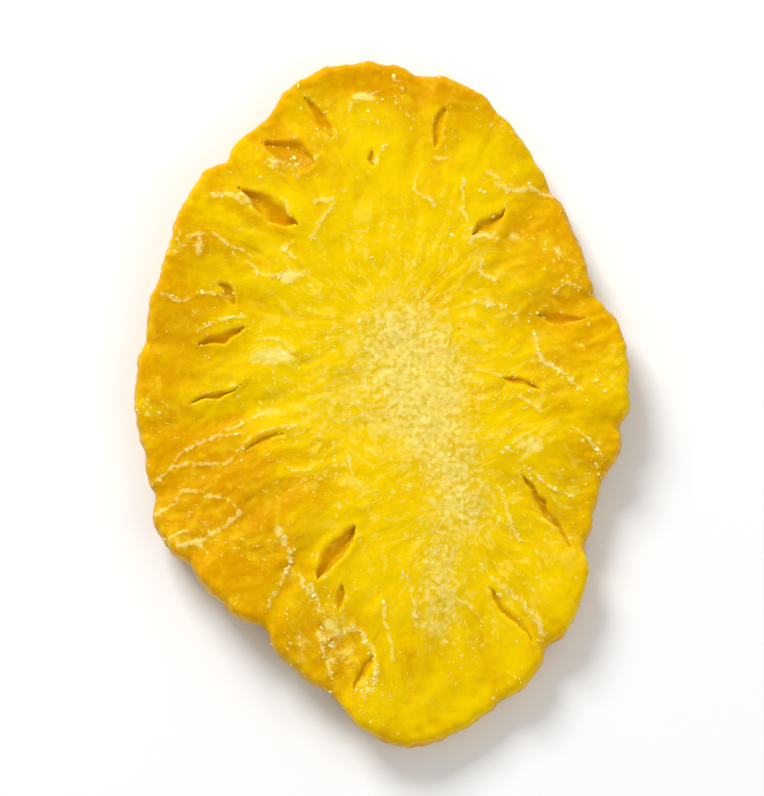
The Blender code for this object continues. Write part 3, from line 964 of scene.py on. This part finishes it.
# Flecks: broken ends of fibres, crusted pale, that lie along the fibres in short bits. They crowd
# round the core, where the knife has cut across the most fibres.

def random_vector(flow, taps, least, most, seed):
    """A vector for each point, drawn between two named sizes."""
    limits = {"Min": taps[least], "Max": taps[most], "Seed": taps[seed]}
    return flow.node("FunctionNodeRandomValue", {"data_type": "FLOAT_VECTOR"}, limits)


def above_tray(spot):
    """From 0 where the slice lies on its tray to 1 a little above it."""
    height = spot.node("ShaderNodeSeparateXYZ", {}, {"Vector": spot}, "Z")
    return height.rise(0.3 * MM, 0.6 * MM)


def strewn(flow, taps, density):
    """Points strewn over the flesh, with that many to a square metre."""
    return flow.node("GeometryNodeDistributePointsOnFaces", sockets={
        "Mesh": surface(flow, taps), "Density": density, "Seed": taps["Seed"]})


fleck_sizes = {
    "Flesh": flesh,
    "Heart": (HEART[0], HEART[1], 0.0),
    "Round The Core": 0.6e6,
    "Elsewhere": 0.03e6,
    "Clusters To A Metre": 260.0,
    "Length": 0.8 * MM,
    "Thickness": 0.085 * MM,
    "Least Share": (0.4, 0.5, 0.3),
    "Most Share": (1.6, 1.2, 0.6),
    "Share Seed": 3,
    "Least Turn": (0.0, -0.1, -0.6),
    "Most Turn": (0.0, 0.1, 0.6),
    "Turn Seed": 4,
    "Seed": 7,
    "Material": membrane_material,
}
tree, taps = new_tree("flecks", fleck_sizes)
flow = Flow(tree)
spot = flow.node("GeometryNodeInputPosition")
place = spot.vector("SUBTRACT", spot, taps["Heart"]).scaled(1 / MM)
reach, bearing, _ = fan(place)
ring = reach.rise(1.0, 5.0) * (1 - reach.rise(8.0, 17.0))
clusters = spot.noise(taps["Clusters To A Metre"], 2.0).rise(0.45, 0.65) * 1.6
on_core_face = attribute(flow, "core").rise(0.0, 0.05)
density = taps["Round The Core"] * ring * on_core_face + taps["Elsewhere"]
density = density * clusters * above_tray(spot)
scattered = strewn(flow, taps, density)
share = random_vector(flow, taps, "Least Share", "Most Share", "Share Seed")
turn = random_vector(flow, taps, "Least Turn", "Most Turn", "Turn Seed")
along_fibre = flow.node("FunctionNodeAlignRotationToVector", {"axis": "X", "pivot_axis": "Z"},
                        {"Rotation": scattered.other("Rotation"), "Vector": bearing})
along_fibre = flow.node("FunctionNodeRotateRotation", {"rotation_space": "LOCAL"},
                        {"Rotation": along_fibre, "Rotate By": turn})
bit = flow.node("GeometryNodeMeshIcoSphere", sockets={"Radius": 1.0, "Subdivisions": 1})
half_size = flow.node("ShaderNodeCombineXYZ", sockets={
    "X": taps["Length"] / 2, "Y": taps["Thickness"], "Z": taps["Thickness"]})
laid_flecks = flow.node("GeometryNodeInstanceOnPoints", sockets={
    "Points": scattered, "Instance": bit, "Rotation": along_fibre,
    "Scale": flow.vector("MULTIPLY", share, half_size)})
flecks = add_object("flecks", bpy.data.meshes.new("flecks"))
grow(flecks, tree, taps, fleck_sizes, laid_flecks)
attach(flecks, "root")


# Sugar: grains that have dried out of the flesh's juice. They crowd along the membranes and on the
# crusts and lie thin elsewhere.
SUGAR_GOLD = (0.91, 0.68, 0.07, 1)
SUGAR_PALE = (0.97, 0.84, 0.34, 1)
sugar_material, shader, flow = shader_of("sugar")
coords = flow.node("ShaderNodeTexCoord", output="Object")
tone = coords.noise(0.9 / MM, 1.0).rise(0.35, 0.65)
tone.mix(SUGAR_GOLD, SUGAR_PALE).feeds(shader.inputs["Base Color"])
shader.inputs["Roughness"].default_value = 0.3
shader.inputs["Specular IOR Level"].default_value = 0.25

grain_sizes = {
    "Flesh": flesh,
    "Sparse": 0.07e6,
    "On Membranes": 9.0e6,
    "On Crusts": 1.6e6,
    "On Lips": 0.35e6,
    "Clusters To A Metre": 170.0,
    "Breaks To A Metre": 620.0,
    "Smallest": 0.07 * MM,
    "Largest": 0.3 * MM,
    "Size Seed": 3,
    "Least Turn": (-0.3, -0.3, 0.0),
    "Most Turn": (0.3, 0.3, math.tau),
    "Turn Seed": 4,
    "Least Share": (0.6, 0.5, 0.2),
    "Most Share": (1.8, 1.1, 0.45),
    "Share Seed": 5,
    "Seed": 11,
    "Material": sugar_material,
}
tree, taps = new_tree("sugar grains", grain_sizes)
flow = Flow(tree)
spot = flow.node("GeometryNodeInputPosition")
clusters = spot.noise(taps["Clusters To A Metre"], 2.0).rise(0.47, 0.7) * 4.0
broken = spot.noise(taps["Breaks To A Metre"], 3.0).rise(0.42, 0.58)
on_membranes = attribute(flow, "membrane") ** 3.0 * broken
density = taps["Sparse"] * clusters + taps["On Membranes"] * on_membranes
density = density + taps["On Crusts"] * attribute(flow, "crust")
density = density + taps["On Lips"] * attribute(flow, "lip")
scattered = strewn(flow, taps, density * above_tray(spot))
chance = flow.node("FunctionNodeRandomValue", {"data_type": "FLOAT"},
                   {"Min": 0.0, "Max": 1.0, "Seed": taps["Size Seed"]})
size = taps["Smallest"] + (taps["Largest"] - taps["Smallest"]) * chance ** 3.0
share = random_vector(flow, taps, "Least Share", "Most Share", "Share Seed")
turn = random_vector(flow, taps, "Least Turn", "Most Turn", "Turn Seed")
turn = flow.node("FunctionNodeRotateRotation", {"rotation_space": "LOCAL"},
                 {"Rotation": scattered.other("Rotation"), "Rotate By": turn})
grain = flow.node("GeometryNodeMeshIcoSphere", sockets={"Radius": 1.0, "Subdivisions": 1})
grains = flow.node("GeometryNodeInstanceOnPoints", sockets={
    "Points": scattered, "Instance": grain, "Rotation": turn, "Scale": share.scaled(size)})
sugar = add_object("sugar_grains", bpy.data.meshes.new("sugar_grains"))
grow(sugar, tree, taps, grain_sizes, grains)
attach(sugar, "root")


# Studio: a plain pale floor just below the slice, under an even white sky. A lamp behind the slice
# on the left shapes it, and a wider, weaker one on the right in front softens the shadows.
FLOOR_REACH = 3.0
FLOOR_DROP = 0.05 * MM
FLOOR_GREY = 0.92
SKY_STRENGTH = 0.48
LAMPS = (  # name, place, width, watts
    ("key", (-0.3, 0.5, 0.5), 0.3, 4.9),
    ("fill", (0.5, -0.3, 0.6), 0.6, 1.4),
)

corners = [(u * FLOOR_REACH, v * FLOOR_REACH, 0) for u, v in ((-1, -1), (1, -1), (1, 1), (-1, 1))]
floor_mesh = bpy.data.meshes.new("floor")
floor_mesh.from_pydata(corners, [], [(0, 1, 2, 3)])
floor = add_object("floor", floor_mesh)
floor.location.z = -FLOOR_DROP
floor_material, shader, _ = shader_of("floor")
shader.inputs["Base Color"].default_value = (FLOOR_GREY, FLOOR_GREY, FLOOR_GREY, 1)
shader.inputs["Roughness"].default_value = 0.8
floor_mesh.materials.append(floor_material)

sky = bpy.data.worlds.new("studio")
sky.use_nodes = True
sky.node_tree.nodes["Background"].inputs["Color"].default_value = (1, 1, 1, 1)
sky.node_tree.nodes["Background"].inputs["Strength"].default_value = SKY_STRENGTH
bpy.context.scene.world = sky
bpy.context.scene.view_settings.view_transform = "Standard"

for name, place, width, watts in LAMPS:
    lamp_data = bpy.data.lights.new(name, "AREA")
    lamp_data.size = width
    lamp_data.energy = watts
    lamp = add_object(name, lamp_data)
    lamp.location = place
    lamp.rotation_euler = (-Vector(place)).to_track_quat("-Z", "Y").to_euler()
